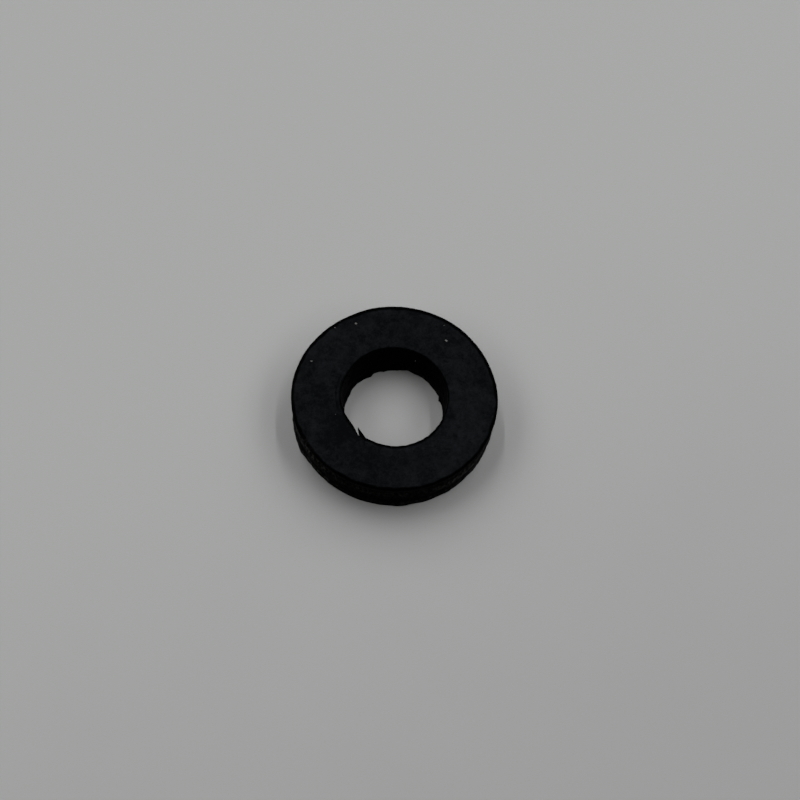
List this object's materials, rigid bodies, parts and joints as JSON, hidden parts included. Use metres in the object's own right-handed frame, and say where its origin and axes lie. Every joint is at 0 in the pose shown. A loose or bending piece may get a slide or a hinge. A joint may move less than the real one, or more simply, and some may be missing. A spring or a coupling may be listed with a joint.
{
  "type": "gasket",
  "caption": "Flat, thick rubber sealing ring with a plain round bore, clamped between the flat faces of a screwed pipe or tap joint.",
  "frame": {"origin": "centre of the underside, on the axis of the bore", "axes": "+Z along the bore's axis, from the underside with the torn lip up to the face with the rolled rim; +X and +Y in the plane of the sheet"},
  "size_m": [0.019, 0.019, 0.004],
  "materials": {
    "black_rubber": "matte, as pressed sheet, with cut edges"
  },
  "bodies": {
    "root": {"gasket_ring": "black_rubber"}
  },
  "joints": []
}
